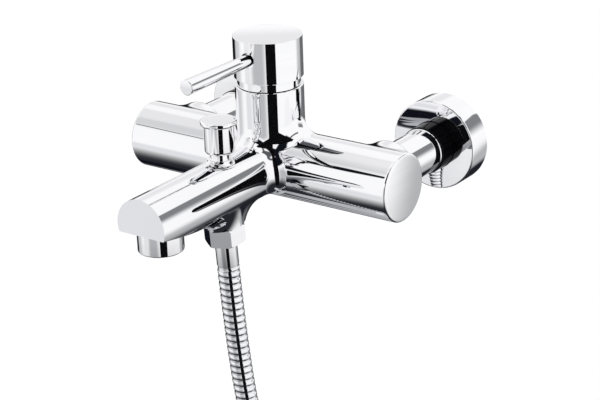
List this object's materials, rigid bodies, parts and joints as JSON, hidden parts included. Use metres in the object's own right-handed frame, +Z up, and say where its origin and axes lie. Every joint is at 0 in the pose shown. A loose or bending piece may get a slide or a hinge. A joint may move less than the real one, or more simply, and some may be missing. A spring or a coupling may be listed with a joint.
{
  "type": "wall mounted bath faucet",
  "caption": "Wall mounted bath and shower mixer: round body tube on offset wall unions, rocking and turning lever, flat-bottomed spout with aerator, pull-up diverter and metal shower hose.",
  "frame": {"origin": "on the wall surface, midway between the two water inlets and level with the axis of the body tube", "axes": "+X along the wall to the right as seen by the user, +Y into the wall, +Z up"},
  "size_m": [0.2098, 0.2384, 0.5121],
  "materials": {
    "chrome_body": "polished chrome plate on cast brass",
    "chrome_trim": "polished chrome plate",
    "black_nut": "black gloss",
    "brass": "turned",
    "rubber": "matt",
    "white_plastic": "moulded",
    "grey_plastic": "moulded",
    "ceramic": "lapped",
    "steel": "drawn",
    "hose_metal": "ridged chrome plated strip",
    "tie": "soft strap"
  },
  "bodies": {
    "root": {"aerator_housing": "chrome_trim", "aerator_insert": "white_plastic", "aerator_screen": "steel", "aerator_washer": "rubber", "cartridge_base": "white_plastic", "cartridge_base_seal": "rubber", "cartridge_housing": "white_plastic", "cartridge_nut": "brass", "check_valve": "white_plastic", "collar_ring": "chrome_trim", "diverter_gland": "chrome_trim", "diverter_spring": "steel", "end_ferrule": "chrome_trim", "fixed_ceramic_disc": "ceramic", "gland_seals": "rubber", "handset_washer": "rubber", "hose_coil": "hose_metal", "hose_ferrule": "chrome_trim", "hose_insert": "brass", "hose_lead": "hose_metal", "hose_nut": "chrome_trim", "hose_tail": "hose_metal", "hose_ties": "tie", "hose_washer": "rubber", "left_eccentric_union": "brass", "left_end_cap": "chrome_trim", "left_end_cap_seal": "rubber", "left_escutcheon": "chrome_trim", "left_grip_ring": "rubber", "left_inlet_washer": "rubber", "left_union_nut": "black_nut", "left_union_tail": "brass", "outlet_nipple": "brass", "right_eccentric_union": "brass", "right_end_cap": "chrome_trim", "right_end_cap_seal": "rubber", "right_escutcheon": "chrome_trim", "right_grip_ring": "rubber", "right_inlet_washer": "rubber", "right_union_nut": "black_nut", "right_union_tail": "brass", "valve_body": "chrome_body"},
    "handle": {"stem_guide": "white_plastic", "pivot_pin": "steel"},
    "lever": {"cartridge_stem": "brass", "handle_cap": "chrome_trim", "lever_rod": "chrome_trim", "handle_set_screw": "steel", "screw_plug": "grey_plastic"},
    "ceramic_disc": {"moving_ceramic_disc": "ceramic", "disc_carrier": "white_plastic"},
    "diverter": {"diverter_knob": "chrome_trim", "diverter_stem": "brass", "diverter_valve": "brass", "diverter_seals": "rubber"},
    "handset_cone": {"handset_nut": "chrome_trim"}
  },
  "joints": [
    {"name": "handle_swivel", "type": "hinge", "parent": "root", "child": "handle", "pos_m": [0, -0.092, 0.046], "axis": [0, 0, 1], "range_deg": [-50, 50]},
    {"name": "handle_lift", "type": "hinge", "parent": "handle", "child": "lever", "pos_m": [0, -0.092, 0.046], "axis": [-1, 0, 0], "range_deg": [0, 13]},
    {"name": "disc_slide", "type": "slide", "parent": "handle", "child": "ceramic_disc", "axis": [0, -1, 0], "range_m": [0, 0.0047]},
    {"name": "diverter_pull", "type": "slide", "parent": "root", "child": "diverter", "axis": [0, 0, 1], "range_m": [0, 0.0078], "stiffness_N_per_m": 150, "springref_m": -0.004, "deforming": ["diverter_spring"]},
    {"name": "handset_nut_spin", "type": "hinge", "parent": "root", "child": "handset_cone", "pos_m": [0.08604, -0.09878, -0.41867], "axis": [0, 0, 1], "continuous": true}
  ],
  "couplings": [
    {"joint": "disc_slide", "follows": "handle_lift", "m_per_rad": 0.02}
  ]
}
